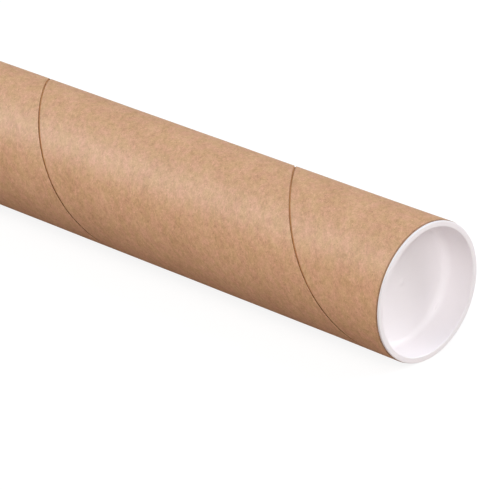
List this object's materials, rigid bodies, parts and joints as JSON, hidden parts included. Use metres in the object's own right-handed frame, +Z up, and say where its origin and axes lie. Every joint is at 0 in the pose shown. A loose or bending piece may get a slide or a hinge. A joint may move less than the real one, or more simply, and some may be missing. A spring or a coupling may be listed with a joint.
{
  "type": "drawing tube",
  "caption": "Spiral-wound kraft paper mailing tube for rolled drawings, with a recessed push-in plug cap in each end.",
  "frame": {"origin": "on the ground under the middle of the lying tube, at the bottom centre of its box", "axes": "+X along the tube towards the front cap, +Z up, the tube lying on its side"},
  "size_m": [0.6128, 0.0796, 0.0795],
  "materials": {
    "kraft_outer": "uncoated kraft liner, matt with fine fibre mottle",
    "board_core": "uncoated core board, matt",
    "kraft_lining": "uncoated kraft lining, matt",
    "cap_plastic": "natural white polyethylene, satin"
  },
  "bodies": {
    "tube": {"outer_ply": "kraft_outer", "middle_ply": "board_core", "inner_ply": "kraft_lining"},
    "front_cap": {"front_end_cap": "cap_plastic"},
    "rear_cap": {"rear_end_cap": "cap_plastic"}
  },
  "joints": [
    {"name": "front_cap_slide", "type": "slide", "parent": "tube", "child": "front_cap", "axis": [1, 0, 0], "range_m": [0, 0.06]},
    {"name": "rear_cap_slide", "type": "slide", "parent": "tube", "child": "rear_cap", "axis": [-1, 0, 0], "range_m": [0, 0.06]}
  ]
}
